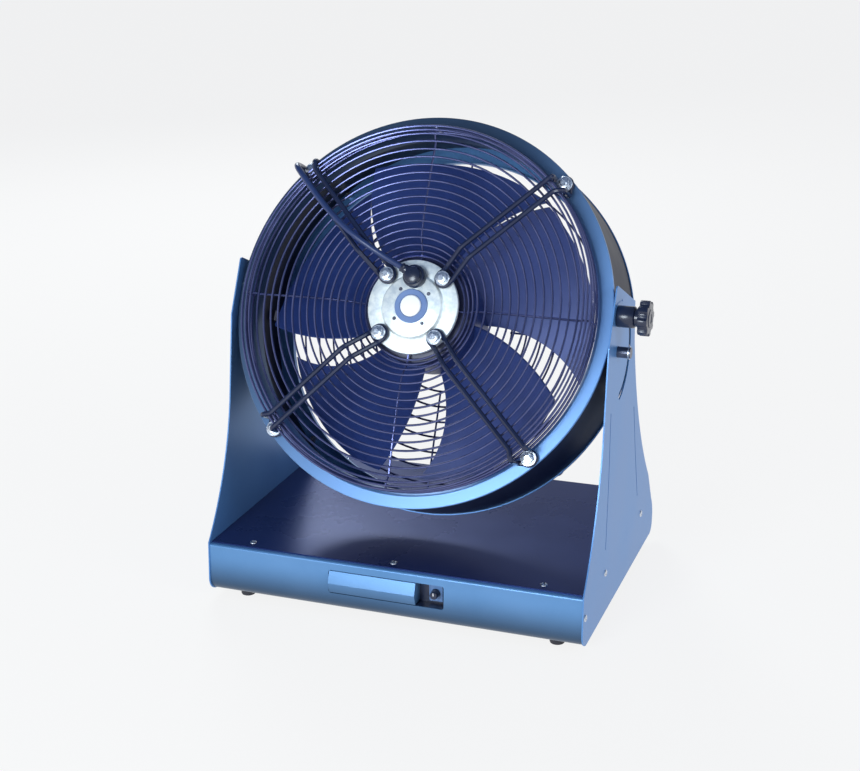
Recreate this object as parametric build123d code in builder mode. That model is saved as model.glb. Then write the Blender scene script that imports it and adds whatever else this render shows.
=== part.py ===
from build123d import *
import math
import os

os.makedirs("parts", exist_ok=True)

# A free-standing drum fan. Millimetres, +Z up. The open front of the drum faces -Y, and left and
# right are those of someone who stands before it, so the clamp knob on the right is at +X. The
# pieces are drawn about the middle plane between the side panels, and save() sets them down with
# the origin on the floor under the middle of the whole width and depth, the clamp knob counted.

# ---------------------------------------------------------------- driving dimensions: stand
SHEET = 1.5            # thickness of the panels, the pan and the cover plate
PANEL_GAP = 454.0      # clear width between the two side panels
FOOT_H = 9.0           # height of the rubber feet
LIP_TOP = 71.3         # height of the cover plate's upper face
FRONT_Y = -188.0       # foremost line of the base
REAR_Y = 149.0         # rearmost line of the base

# ---------------------------------------------------------------- driving dimensions: drum
RING_R = 226.0         # outer radius of the front and rear rings
DRUM_R = 224.5         # outer radius of the drum wall
THROAT_R = 204.0       # radius of the throat round the blades
DRUM_L = 114.0         # front face of the front ring to rear face of the rear ring
DRUM_SHEET = 1.6       # thickness of the wall and of both rings
RING_Y = -70.0         # centre of the front ring
RING_Z = 344.0
TILT = 26.4            # the drum looks up by this angle in the modelled pose

# ---------------------------------------------------------------- driving dimensions: pivot
PIVOT_Y = -54.0
PIVOT_Z = 310.5
SLOT_R = 57.0          # radius of the guide slot round the pivot
SLOT_W = 9.0
SLOT_LOW = -77.0       # angles of the slot's ends, from +Y towards +Z
SLOT_HIGH = 20.0
GUIDE_ANGLE = -12.4    # where the guide pin stands in the slot in the modelled pose
PIN_R = 6.25
GUIDE_R = 4.0
CLAMP_Y = -57.0        # axis of the clamp knob
CLAMP_Z = 352.5

# ---------------------------------------------------------------- driving dimensions: impeller
BLADES = 5
TIP_R = 194.0
ROTOR_R = 62.0
SHAFT_R = 6.0

# ---------------------------------------------------------------- driving dimensions: guards
WIRE = 3.0             # side of the square that stands for the ring wire
ARM_ROD = 6.0          # rod of the four arms, across flats
ARM_PITCH = 15.0       # distance between the two legs of an arm
RIM_BOLT_R = 217.0
HUB_BOLT_R = 47.4
BOLT_R = 4.0
HOLE_R = 4.6
HUB_W = 20.5           # front face of the motor flange, ahead of the front ring

# ---------------------------------------------------------------- place of the whole
MIDDLE_X = -17.4       # the plane between the side panels, from the middle of the whole width
MIDDLE_Y = 20.1        # the zero of the drawing, from the middle of the whole depth

inner_x = PANEL_GAP / 2
outer_x = inner_x + SHEET
tau = math.radians(TILT)
forward = Vector(0, -math.cos(tau), math.sin(tau))
upward = Vector(0, math.sin(tau), math.cos(tau))
centre = Vector(0, RING_Y, RING_Z)
drum = Plane(origin=centre, x_dir=(1, 0, 0), z_dir=forward)
meridian = Plane(origin=centre, x_dir=(1, 0, 0), z_dir=upward * -1)
drum_axis = Axis(centre, forward)


def at(u, v, w):
    """A point given across, up and forward of the front ring's centre."""
    return centre + Vector(u, 0, 0) + upward * v + forward * w


def drum_coordinates(y, z):
    """How far a point of the middle plane lies up and forward of the front ring's centre."""
    offset_yz = Vector(0, y - RING_Y, z - RING_Z)
    return offset_yz.dot(upward), offset_yz.dot(forward)


def side_plane(x):
    """A plane square to X, seen from +X, with its x along +Y and its y along +Z."""
    return Plane(origin=(x, 0, 0), x_dir=(0, 1, 0), z_dir=(1, 0, 0))


def save(builder, name):
    """Sets a finished piece down in its place, labels it and writes it."""
    piece = builder.part.moved(Location((MIDDLE_X, MIDDLE_Y, 0)))
    piece.label = name
    export_step(piece, f"parts/{name}.step")


# ================================================================ stand
# Base pan: one folded sheet, closed at both ends. The lip leans out towards its foot, and the
# rear wall leans in, as the side panels' outlines do.
pan_z = FOOT_H + SHEET / 2
flange_z = LIP_TOP - SHEET * 1.5
LIP_LEAN = 4.3
REAR_FLANGE_Y = 126.0
lip_y = FRONT_Y + SHEET / 2 + LIP_LEAN
FLANGE = 22.0
rear_corner = REAR_Y + 9
with BuildPart() as base_pan:
    with BuildSketch(side_plane(-inner_x)):
        with BuildLine():
            FilletPolyline(
                (lip_y + FLANGE, flange_z),
                (lip_y, flange_z),
                (lip_y - LIP_LEAN, pan_z),
                (rear_corner, pan_z),
                (REAR_FLANGE_Y, flange_z),
                (REAR_FLANGE_Y - FLANGE, flange_z),
                radius=[2, 17, 22, 2],
            )
        trace(line_width=SHEET)
    extrude(amount=PANEL_GAP)
    with BuildSketch(side_plane(-inner_x), side_plane(inner_x - SHEET)):
        with BuildLine():
            FilletPolyline(
                (lip_y, flange_z),
                (lip_y - LIP_LEAN, pan_z),
                (rear_corner, pan_z),
                (REAR_FLANGE_Y, flange_z),
                close=True,
                radius=[0.4, 17, 22, 0.4],
            )
        make_face()
    extrude(amount=SHEET)
    # window of the control recess in the lip
    WINDOW_X = (-74.0, 67.0)
    WINDOW_Z = (32.0, 60.0)
    window_w = WINDOW_X[1] - WINDOW_X[0]
    window_h = WINDOW_Z[1] - WINDOW_Z[0]
    window_mid = (sum(WINDOW_X) / 2, sum(WINDOW_Z) / 2)
    window = Plane(origin=(window_mid[0], FRONT_Y - 5, window_mid[1]), x_dir=(1, 0, 0), z_dir=(0, -1, 0))
    with BuildSketch(window):
        RectangleRounded(window_w, window_h, 3)
    extrude(amount=-20, mode=Mode.SUBTRACT)
save(base_pan, "base_pan")

# Cover plate, resting on the pan's two flanges
COVER_SCREW_X = 178.0
COVER_SCREW_Y = (-166.5, 116.0)
cover_front = lip_y + 5
cover_rear = REAR_FLANGE_Y - 1
cover_mid_y = (cover_front + cover_rear) / 2
with BuildPart() as cover_plate:
    with BuildSketch(Plane(origin=(0, cover_mid_y, LIP_TOP - SHEET))):
        Rectangle(PANEL_GAP - 0.4, cover_rear - cover_front)
    extrude(amount=SHEET)
save(cover_plate, "cover_plate")

SCREW_SIDES = 8
with BuildPart() as cover_screws:
    with BuildSketch(Plane.XY.offset(LIP_TOP)):
        for screw_y in COVER_SCREW_Y:
            with Locations((-COVER_SCREW_X, screw_y), (0, screw_y), (COVER_SCREW_X, screw_y)):
                RegularPolygon(radius=4.2, side_count=SCREW_SIDES)
    extrude(amount=2.0, taper=20)
save(cover_screws, "cover_screws")

# Side panels: both have one outline, an upswept front edge and a hollow rear edge
PANEL_FOOT = 17.0
with BuildSketch(Plane.XY) as panel_outline:
    with BuildLine():
        front_foot = Line((-150, FOOT_H), (FRONT_Y + PANEL_FOOT, FOOT_H))
        front_turn = RadiusArc(front_foot @ 1, (FRONT_Y - 0.5, FOOT_H + PANEL_FOOT), PANEL_FOOT)
        lip_edge = Line(front_turn @ 1, (lip_y - 1.5, LIP_TOP))
        sweep_up = ThreePointArc(lip_edge @ 1, (-139, 141), (-110, 224))
        upper_front = Line(sweep_up @ 1, (-92, 326))
        crown_front = Line(upper_front @ 1, (-60, 388))
        crown_rear = Line(crown_front @ 1, (26, 347))
        upper_rear = Line(crown_rear @ 1, (27, 300))
        hollow = ThreePointArc(upper_rear @ 1, (58, 194), (120, 96))
        flare = Line(hollow @ 1, (140, 56))
        rear_edge = ThreePointArc(flare @ 1, (REAR_Y, 32), (REAR_Y - 1, 22))
        rear_turn = ThreePointArc(rear_edge @ 1, (144, 13), (130, FOOT_H))
        Line(rear_turn @ 1, front_foot @ 0)
    make_face()
    fillet(panel_outline.vertices().group_by(Axis.Y)[-1], radius=4)

with BuildSketch(Plane.XY) as guide_slot:
    with BuildLine() as slot_line:
        CenterArc((PIVOT_Y, PIVOT_Z), SLOT_R, SLOT_LOW, SLOT_HIGH - SLOT_LOW)
    SlotArc(slot_line.wire(), SLOT_W)

# pressed creases along the front and rear edges, and the index line over the clamp
CREASE_W = 2.0
CREASE_DEPTH = 0.5
INDEX_START = 72.0
INDEX_SWEEP = 30.0
with BuildSketch(Plane.XY) as creases:
    with BuildLine():
        Polyline((-79.5, 247), (-84.5, 165), (-93, 88))
    trace(line_width=CREASE_W)
    with BuildLine():
        Polyline((31, 217), (45, 150), (60, 92))
    trace(line_width=CREASE_W)
    with BuildLine():
        CenterArc((PIVOT_Y, PIVOT_Z), SLOT_R, INDEX_START, INDEX_SWEEP)
    trace(line_width=CREASE_W)

PIVOT_HOLE_R = PIN_R + 0.08
CLAMP_HOLE_R = 4.8
SIDE_SCREWS = ((-92.6, 59.0), (-179.0, 45.0), (80.6, 59.5))
for side, name in ((1, "side_panel_right"), (-1, "side_panel_left")):
    face = side_plane(inner_x) if side > 0 else side_plane(-outer_x)
    groove = side_plane(outer_x - CREASE_DEPTH) if side > 0 else side_plane(-outer_x)
    with BuildPart() as panel:
        with BuildSketch(face):
            add(panel_outline.sketch)
            add(guide_slot.sketch, mode=Mode.SUBTRACT)
            with Locations((PIVOT_Y, PIVOT_Z)):
                Circle(PIVOT_HOLE_R, mode=Mode.SUBTRACT)
            with Locations((CLAMP_Y, CLAMP_Z)):
                RegularPolygon(radius=CLAMP_HOLE_R, side_count=8, mode=Mode.SUBTRACT)
        extrude(amount=SHEET)
        with BuildSketch(groove):
            add(creases.sketch)
        extrude(amount=CREASE_DEPTH, mode=Mode.SUBTRACT)
    save(panel, name)

    with BuildPart() as side_screws:
        with BuildSketch(side_plane(side * outer_x)):
            with Locations(*SIDE_SCREWS):
                RegularPolygon(radius=4.4, side_count=SCREW_SIDES)
        extrude(amount=side * 2.0, taper=20)
    save(side_screws, name.replace("panel", "screws"))

# Rubber feet
FEET = {
    "rubber_foot_front_right": (192, -160),
    "rubber_foot_front_left": (-192, -160),
    "rubber_foot_rear_right": (192, 106),
    "rubber_foot_rear_left": (-192, 106),
}
for name, place in FEET.items():
    with BuildPart() as foot:
        with BuildSketch(Plane(origin=(place[0], place[1], FOOT_H))):
            RegularPolygon(radius=8.8, side_count=12)
        extrude(amount=-FOOT_H)
    save(foot, name)

# Control recess: a moulded tray behind the lip's window, a folded blanking strip over most of it,
# and the switch plate with its turning knob in the open pocket on the right
TRAY_WALL = 1.5
TRAY_FLOOR_Y = -171.0
lip_inner = Plane(
    origin=(0, lip_y + SHEET / 2 + 0.05, flange_z),
    x_dir=(1, 0, 0),
    z_dir=Vector(0, flange_z - pan_z, LIP_LEAN * -1).normalized(),
)
recess = Plane(origin=(window_mid[0], TRAY_FLOOR_Y, window_mid[1]), x_dir=(1, 0, 0), z_dir=(0, -1, 0))
with BuildPart() as control_tray:
    with BuildSketch(recess.offset(-TRAY_WALL)):
        Rectangle(window_w + 2 * TRAY_WALL, window_h + 2 * TRAY_WALL)
    extrude(amount=30)
    with BuildSketch(recess):
        Rectangle(window_w, window_h)
    extrude(amount=30, mode=Mode.SUBTRACT)
    split(bisect_by=lip_inner, keep=Keep.TOP)
save(control_tray, "control_tray")

STRIP_X = (-73.0, 33.0)
STRIP_FOLD = 3.0       # how far the fold stands out of the lip
strip_h = window_h - 2
with BuildPart() as blanking_strip:
    with BuildSketch(side_plane(STRIP_X[0])):
        with BuildLine():
            Polyline(
                (TRAY_FLOOR_Y, window_mid[1] - strip_h / 2),
                (FRONT_Y + 1.5, window_mid[1] - strip_h / 2),
                (FRONT_Y + 1.5 - STRIP_FOLD, window_mid[1] - 1),
                (FRONT_Y + 3.5, window_mid[1] + strip_h / 2),
                (TRAY_FLOOR_Y, window_mid[1] + strip_h / 2),
                close=True,
            )
        make_face()
    extrude(amount=STRIP_X[1] - STRIP_X[0])
save(blanking_strip, "blanking_strip")

PLATE_MID = (53.5, 45.3)
PLATE_T = 2.5
with BuildPart() as switch_plate:
    plate_back = Plane(origin=(PLATE_MID[0], TRAY_FLOOR_Y, PLATE_MID[1]), x_dir=(1, 0, 0), z_dir=(0, -1, 0))
    with BuildSketch(plate_back):
        Rectangle(16, 21)
    extrude(amount=PLATE_T)
save(switch_plate, "switch_plate")

KNOB_GAP = 0.3
SPEED_KNOB_R = 5.2
SPEED_KNOB_T = 9.0
with BuildPart() as speed_knob:
    knob_back = plate_back.offset(PLATE_T + KNOB_GAP)
    with BuildSketch(knob_back):
        RegularPolygon(radius=SPEED_KNOB_R, side_count=12)
    extrude(amount=SPEED_KNOB_T)
    with BuildSketch(knob_back.offset(SPEED_KNOB_T)):
        with Locations((0, SPEED_KNOB_R / 2)):
            Rectangle(1.2, SPEED_KNOB_R)
    extrude(amount=-1.2, mode=Mode.SUBTRACT)
save(speed_knob, "speed_knob")

# Electrics in the pan: speed regulator behind the tray, motor capacitor and terminal block
pan_floor = FOOT_H + SHEET
with BuildPart() as speed_regulator:
    with BuildSketch(Plane(origin=(40, TRAY_FLOOR_Y + TRAY_WALL + 13.2, pan_floor + 0.1))):
        Rectangle(46, 26)
    extrude(amount=48)
save(speed_regulator, "speed_regulator")

with BuildPart() as run_capacitor:
    with BuildSketch(side_plane(-60)):
        with Locations((-60, pan_floor + 15 * math.cos(math.pi / 16))):
            RegularPolygon(radius=15, side_count=16, rotation=180 / 16)
    extrude(amount=70)
    with BuildSketch(Plane(origin=(-25, -60, pan_floor))):
        Rectangle(14, 38)
    extrude(amount=3)
save(run_capacitor, "run_capacitor")

with BuildPart() as terminal_block:
    with BuildSketch(Plane(origin=(60, -40, pan_floor))):
        Rectangle(64, 22)
    extrude(amount=16)
save(terminal_block, "terminal_block")

# Clamp: a long black bush on the right panel, a lobed knob beyond it and the screw that joins them,
# whose reduced tip stands ready to press on the drum
BUSH_L = 24.5
BUSH_R = 12.0
KNOB_R = 20.0
KNOB_T = 12.0
LOBES = 8
LOBE_DEPTH = 3.2
LOBE_HALF = 0.3        # share of a lobe's pitch taken by its flat top
VALLEY = (0.42, 0.58)    # where the dip between two lobes lies
STUD_R = 4.0
TIP_X = 226.2
bush_end = outer_x + BUSH_L
with BuildPart() as clamp_bush:
    with BuildSketch(side_plane(outer_x)):
        with Locations((CLAMP_Y, CLAMP_Z)):
            RegularPolygon(radius=BUSH_R, side_count=20)
            RegularPolygon(radius=STUD_R + 0.8, side_count=12, mode=Mode.SUBTRACT)
    extrude(amount=BUSH_L)
save(clamp_bush, "clamp_bush")

pitch = 2 * math.pi / LOBES
lobe_points = []
for lobe in range(LOBES):
    for share, dip in ((-LOBE_HALF, 0), (LOBE_HALF, 0), (VALLEY[0], LOBE_DEPTH), (VALLEY[1], LOBE_DEPTH)):
        angle = (lobe + share) * pitch
        radius = KNOB_R - dip
        lobe_points.append((CLAMP_Y + radius * math.cos(angle), CLAMP_Z + radius * math.sin(angle)))
with BuildPart() as clamp_knob:
    with BuildSketch(side_plane(bush_end + KNOB_GAP)):
        with BuildLine():
            Polyline(*lobe_points, close=True)
        make_face()
    extrude(amount=KNOB_T)
    chamfer(clamp_knob.faces().sort_by(Axis.X)[-1].edges(), length=1.5)
save(clamp_knob, "clamp_knob")

with BuildPart() as clamp_screw:
    with BuildSketch(side_plane(outer_x)):
        with Locations((CLAMP_Y, CLAMP_Z)):
            RegularPolygon(radius=STUD_R, side_count=12)
    extrude(amount=BUSH_L + KNOB_GAP)
    with BuildSketch(side_plane(TIP_X)):
        with Locations((CLAMP_Y, CLAMP_Z)):
            RegularPolygon(radius=STUD_R - 1, side_count=12)
    extrude(until=Until.NEXT)
save(clamp_screw, "clamp_screw")

# ================================================================ drum
# Wall: a rolled tube between the two rings, with windows for the trunnions and guide pins
TRUNNION = 26.0
GUIDE_BLOCK = 12.0
pivot_v, pivot_w = drum_coordinates(PIVOT_Y, PIVOT_Z)
guide_y = PIVOT_Y + SLOT_R * math.cos(math.radians(GUIDE_ANGLE))
guide_z = PIVOT_Z + SLOT_R * math.sin(math.radians(GUIDE_ANGLE))
guide_v, guide_w = drum_coordinates(guide_y, guide_z)
with BuildPart() as drum_wall:
    with BuildSketch(drum.offset(DRUM_SHEET - DRUM_L)):
        Circle(DRUM_R)
        Circle(DRUM_R - DRUM_SHEET, mode=Mode.SUBTRACT)
    extrude(amount=DRUM_L - 2 * DRUM_SHEET)
    for v, w, width in ((pivot_v, pivot_w, TRUNNION), (guide_v, guide_w, GUIDE_BLOCK)):
        with BuildSketch(Plane(origin=at(-DRUM_R - 5, v, w), x_dir=forward, z_dir=(1, 0, 0))):
            Rectangle(width, width)
        extrude(amount=2 * DRUM_R + 10, mode=Mode.SUBTRACT)
save(drum_wall, "drum_wall")

# Front ring: a flat flange and a conical mouth that narrows to the throat
BELL_R = 8.0
BELL_SHEET = 0.9
BELL_SIDES = 64
THROAT_L = 22.0
bell_depth = THROAT_L - DRUM_SHEET
bell_taper = math.degrees(math.atan2(BELL_R, bell_depth))
with BuildPart() as front_ring:
    with BuildSketch(drum):
        Circle(RING_R)
        with PolarLocations(RIM_BOLT_R, 4, start_angle=45):
            RegularPolygon(radius=HOLE_R, side_count=6, mode=Mode.SUBTRACT)
    extrude(amount=-DRUM_SHEET)
    with BuildSketch(drum.offset(-DRUM_SHEET)):
        RegularPolygon(radius=THROAT_R + BELL_R + BELL_SHEET, side_count=BELL_SIDES)
    extrude(amount=-bell_depth, taper=bell_taper)
    with BuildSketch(drum):
        RegularPolygon(radius=THROAT_R + BELL_R, side_count=BELL_SIDES)
    extrude(amount=-THROAT_L, taper=math.degrees(math.atan2(BELL_R, THROAT_L)), mode=Mode.SUBTRACT)
save(front_ring, "front_ring")

# Rear ring: a flat flange
with BuildPart() as rear_ring:
    with BuildSketch(drum.offset(-DRUM_L)):
        Circle(RING_R)
        Circle(THROAT_R - 2, mode=Mode.SUBTRACT)
        with PolarLocations(RIM_BOLT_R, 4, start_angle=45):
            RegularPolygon(radius=HOLE_R, side_count=6, mode=Mode.SUBTRACT)
    extrude(amount=DRUM_SHEET)
save(rear_ring, "rear_ring")

# Trunnions: a welded block with the pivot pin, long on the right, flush on the left; below them
# the guide pins that run in the panels' slots
BLOCK_INNER_X = 212.0
BLOCK_OUTER_X = inner_x - 0.4
for side, name, reach in ((1, "trunnion_right", 15.0), (-1, "trunnion_left", 1.5)):
    with BuildPart() as trunnion:
        block_foot = at(side * BLOCK_INNER_X, pivot_v, pivot_w)
        with BuildSketch(Plane(origin=block_foot, x_dir=forward, z_dir=(side, 0, 0))):
            Rectangle(TRUNNION, TRUNNION)
        extrude(amount=BLOCK_OUTER_X - BLOCK_INNER_X)
        with BuildSketch(side_plane(side * BLOCK_OUTER_X)):
            with Locations((PIVOT_Y, PIVOT_Z)):
                Circle(PIN_R)
        extrude(amount=side * (outer_x + reach - BLOCK_OUTER_X))
    save(trunnion, name)

GUIDE_INNER_X = 216.0
for side, name in ((1, "guide_pin_right"), (-1, "guide_pin_left")):
    with BuildPart() as guide_pin:
        block_foot = at(side * GUIDE_INNER_X, guide_v, guide_w)
        with BuildSketch(Plane(origin=block_foot, x_dir=forward, z_dir=(side, 0, 0))):
            Rectangle(GUIDE_BLOCK, GUIDE_BLOCK)
        extrude(amount=BLOCK_OUTER_X - GUIDE_INNER_X)
        with BuildSketch(side_plane(side * BLOCK_OUTER_X)):
            with Locations((guide_y, guide_z)):
                RegularPolygon(radius=GUIDE_R, side_count=12)
        extrude(amount=side * (outer_x - BLOCK_OUTER_X))
    save(guide_pin, name)

RETAINER_R = 7.4
for side, name, gap in ((1, "retaining_ring_right", 12.5), (-1, "retaining_ring_left", 0.2)):
    with BuildPart() as retaining_ring:
        with BuildSketch(side_plane(side * (outer_x + gap))):
            with Locations((PIVOT_Y, PIVOT_Z)):
                RegularPolygon(radius=RETAINER_R, side_count=12)
                RegularPolygon(radius=PIN_R + 0.3, side_count=12, mode=Mode.SUBTRACT)
        extrude(amount=side * 1.2)
    save(retaining_ring, name)

# ================================================================ guards
# Both guards: concentric square wires, drawn as polygons, crossed by four radial wires. A ring is
# given by its radius, its height ahead of the front ring and its number of straight stretches.
RIM_WIRE_R = 207.5
RIM_WIRE_W = 28.0
RIM_PITCH = 4.5
DOME_OUTER_R = 191.5
DOME_PITCH = 9.4
DOME_COUNT = 13
DOME_W = 22.0
DOME_RISE = 5.0
DOME_TOP_R = 104.0
DOME_HALF = 88.0
REAR_PITCH = 18.5
REAR_COUNT = 8
RIM_SIDES = 20
WIDE_SIDES = 16
MIDDLE_SIDES = 12
HUB_SIDES = 10


def dome_w(radius):
    """Height of the front guard's dome ahead of the front ring at a radius."""
    return DOME_W + DOME_RISE * (1 - ((radius - DOME_TOP_R) / DOME_HALF) ** 2)


def sides(radius):
    """Number of straight stretches in a ring, more on the larger ones."""
    return WIDE_SIDES if radius > 130 else MIDDLE_SIDES if radius > 92 else HUB_SIDES


dome_radii = [DOME_OUTER_R - DOME_PITCH * i for i in range(DOME_COUNT)]
front_rings = [(RIM_WIRE_R - RIM_PITCH * i, RIM_WIRE_W, RIM_SIDES) for i in range(3)]
front_rings += [(radius, dome_w(radius), sides(radius)) for radius in dome_radii]
front_rings += [(71.5, 20.0, HUB_SIDES), (65.0, 15.0, HUB_SIDES), (59.5, 12.5, HUB_SIDES)]
front_rings += [(RIM_WIRE_R, 14.5, RIM_SIDES), (RIM_WIRE_R, WIRE / 2, RIM_SIDES)]
front_profile = (
    (50.0, 13.9),
    (61.0, 12.5),
    (71.5, 20.0 - WIRE / 2),
    (dome_radii[-1], dome_w(dome_radii[-1]) - WIRE / 2),
    (DOME_TOP_R, DOME_W + DOME_RISE - WIRE / 2),
    (DOME_OUTER_R, DOME_W - WIRE / 2),
    (RIM_WIRE_R - 2 * RIM_PITCH, RIM_WIRE_W - WIRE / 2),
    (RIM_WIRE_R, RIM_WIRE_W - WIRE / 2),
    (RIM_WIRE_R, 0),
)
rear_w = -DRUM_L - WIRE / 2
rear_radii = [RIM_WIRE_R - REAR_PITCH * i for i in range(REAR_COUNT)]
rear_rings = [(radius, rear_w, sides(radius)) for radius in rear_radii]
rear_profile = ((rear_rings[-1][0], rear_w), (RIM_BOLT_R - 8, rear_w))
for rings, profile, name in (
    (front_rings, front_profile, "front_guard"),
    (rear_rings, rear_profile, "rear_guard"),
):
    with BuildPart() as guard:
        for radius, w, count in rings:
            with BuildSketch(drum.offset(w - WIRE / 2)):
                RegularPolygon(radius=radius + WIRE / 2, side_count=count)
                RegularPolygon(radius=radius - WIRE / 2, side_count=count, mode=Mode.SUBTRACT)
            extrude(amount=WIRE)
        for quarter in range(4):
            across = Vector(1, 0, 0).rotate(Axis((0, 0, 0), forward), 90 * quarter)
            aside = forward.cross(across)
            with BuildSketch(Plane(origin=centre + aside * (WIRE / 2), x_dir=across, z_dir=aside * -1)):
                with BuildLine():
                    Polyline(*profile)
                trace(line_width=WIRE)
            extrude(amount=WIRE)
    save(guard, name)

# ================================================================ arms
# Four hairpins of round rod, drawn six-sided. Each loops round a bolt on the motor flange, rises,
# crosses the guard and rests on its rim; one leg then runs down and out under the rim bolt's washer.
LEG = ARM_PITCH / 2
ROD_Z = ARM_ROD / 2 + 0.5   # middle of the rod above what it lies on
LOOP_R = 8.1
REST_W = RIM_WIRE_W + WIRE / 2 + ROD_Z
BEND_R = 87.0
BEND_W = 44.5
DOWN_R = 212.6
SPLAY = 13.5           # how far aside the fixed leg comes down
FREE_END_W = 16.0
loop_w = HUB_W + ROD_Z
leg_points = ((HUB_BOLT_R + 8, loop_w), (BEND_R, BEND_W), (RIM_WIRE_R - RIM_PITCH, REST_W))
loop_points = []
for step in range(5):
    angle = math.radians(90 + 45 * step)
    loop_points.append((HUB_BOLT_R + LOOP_R * math.cos(angle), LOOP_R * math.sin(angle), loop_w))
arm_path = [(DOWN_R, LEG, FREE_END_W)]
arm_path += [(DOWN_R, LEG, REST_W)]
arm_path += [(r, LEG, w) for r, w in reversed(leg_points)]
arm_path += loop_points
arm_path += [(r, -LEG, w) for r, w in leg_points]
arm_path += [(DOWN_R, -SPLAY, REST_W), (DOWN_R, -SPLAY, ROD_Z), (RIM_BOLT_R + 5.5, -5.5, ROD_Z)]
ARMS = {"arm_upper_right": 45, "arm_upper_left": 135, "arm_lower_left": 225, "arm_lower_right": 315}
for name, angle in ARMS.items():
    along = Vector(1, 0, 0).rotate(Axis((0, 0, 0), forward), angle)
    beside = forward.cross(along)
    points = [centre + along * r + beside * t + forward * w for r, t, w in arm_path]
    with BuildPart() as arm:
        with BuildLine() as rod_line:
            Polyline(*points)
        with BuildSketch(Plane(origin=points[0], x_dir=along, z_dir=points[1] - points[0])):
            RegularPolygon(radius=ARM_ROD / 2, side_count=6, major_radius=False)
        sweep(path=rod_line.wire(), transition=Transition.RIGHT)
    save(arm, name)

# Bolts and washers, one set at the rim, one at the hub and one for the rear guard
HEAD_R = 7.0
HEAD_H = 5.3
WASHER_T = 1.6
rod_top = 2 * ROD_Z
BOLT_SETS = (
    ("rim", RIM_BOLT_R, rod_top, 9.0, -DRUM_SHEET - 6, 1),
    ("hub", HUB_BOLT_R, HUB_W + rod_top, 8.5, HUB_W - 5, 1),
    ("rear_guard", RIM_BOLT_R, -DRUM_L - WIRE, 9.0, DRUM_SHEET + 6 - DRUM_L, -1),
)
for name, circle, seat, washer_r, end, sense in BOLT_SETS:
    corners = [
        (circle * math.cos(math.radians(a)), circle * math.sin(math.radians(a))) for a in ARMS.values()
    ]
    with BuildPart() as washers:
        with BuildSketch(drum.offset(seat)):
            with Locations(*corners):
                RegularPolygon(radius=washer_r, side_count=8)
                RegularPolygon(radius=HOLE_R, side_count=6, mode=Mode.SUBTRACT)
        extrude(amount=WASHER_T * sense)
    save(washers, f"{name}_washers")
    with BuildPart() as bolts:
        with BuildSketch(drum.offset(seat + WASHER_T * sense)):
            with Locations(*corners):
                RegularPolygon(radius=HEAD_R, side_count=6)
        extrude(amount=HEAD_H * sense)
        with BuildSketch(drum.offset(end)):
            with Locations(*corners):
                RegularPolygon(radius=BOLT_R, side_count=6)
        extrude(amount=seat + WASHER_T * sense - end)
    save(bolts, f"{name}_bolts")

# ================================================================ motor
# Fixed half: flange with a raised middle, stator core and bearing cartridge behind it
FLANGE_R = 54.0
FLANGE_T = 5.0
PLATEAU_R = 35.5
PLATEAU_W = 24.0
CARTRIDGE_R = 15.0
STATOR_R = 48.0
STATOR_END = -50.0
with BuildPart() as motor_flange:
    with BuildSketch(drum.offset(HUB_W - FLANGE_T)):
        RegularPolygon(radius=FLANGE_R, side_count=32)
        with PolarLocations(HUB_BOLT_R, 4, start_angle=45):
            RegularPolygon(radius=HOLE_R, side_count=6, mode=Mode.SUBTRACT)
    extrude(amount=FLANGE_T)
    with BuildSketch(drum.offset(HUB_W)):
        RegularPolygon(radius=PLATEAU_R, side_count=24)
    extrude(amount=PLATEAU_W - HUB_W)
save(motor_flange, "motor_flange")

with BuildPart() as stator_core:
    with BuildSketch(drum.offset(STATOR_END)):
        RegularPolygon(radius=STATOR_R, side_count=24)
        RegularPolygon(radius=CARTRIDGE_R + 0.2, side_count=20, mode=Mode.SUBTRACT, major_radius=False)
    extrude(amount=HUB_W - FLANGE_T - STATOR_END)
save(stator_core, "stator_core")

with BuildPart() as bearing_cartridge:
    with BuildSketch(drum.offset(STATOR_END)):
        RegularPolygon(radius=CARTRIDGE_R, side_count=20)
        Circle(SHAFT_R + 0.05, mode=Mode.SUBTRACT)
    extrude(amount=HUB_W - FLANGE_T - STATOR_END)
save(bearing_cartridge, "bearing_cartridge")

HUB_RING_R = 19.5
CAP_R = 12.5
with BuildPart() as hub_ring:
    with BuildSketch(drum.offset(PLATEAU_W)):
        RegularPolygon(radius=HUB_RING_R, side_count=20)
        RegularPolygon(radius=CAP_R + 0.1, side_count=16, mode=Mode.SUBTRACT, major_radius=False)
    extrude(amount=3)
save(hub_ring, "hub_ring")

with BuildPart() as hub_cap:
    with BuildSketch(drum.offset(PLATEAU_W)):
        RegularPolygon(radius=CAP_R, side_count=16)
    extrude(amount=5)
save(hub_cap, "hub_cap")

# Cable gland: a domed cover on the flange with a spout at its side
GLAND_R = 13.3
GLAND_V = 33.5
GLAND_SHOULDER = 10.0
GLAND_H = 14.0
SPOUT_R = 5.5
cable_start = at(-15, 42, 34)
cable_turn = at(-55, 60, 54)
spout_start = cable_start - (cable_turn - cable_start).normalized() * 14
with BuildPart() as cable_gland:
    for radius, height in ((GLAND_R, GLAND_SHOULDER), (GLAND_R - 3, GLAND_H)):
        with BuildSketch(drum.offset(PLATEAU_W)):
            with Locations((0, GLAND_V)):
                RegularPolygon(radius=radius, side_count=14)
        extrude(amount=height)
    with BuildSketch(Plane(origin=spout_start, x_dir=upward, z_dir=cable_start - spout_start)):
        RegularPolygon(radius=SPOUT_R, side_count=10)
    extrude(amount=(cable_start - spout_start).length)
save(cable_gland, "cable_gland")

# Motor cable: from the gland over the upper left arm and the rim to a grommet on the drum wall
CABLE_R = 3.5
CABLE_SHARE = 0.45     # share of the shorter run that an arc may take
GROMMET_W = -42.0
GROMMET_ANGLE = math.radians(137)
cable_out_r = DRUM_R + 7.5


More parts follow.
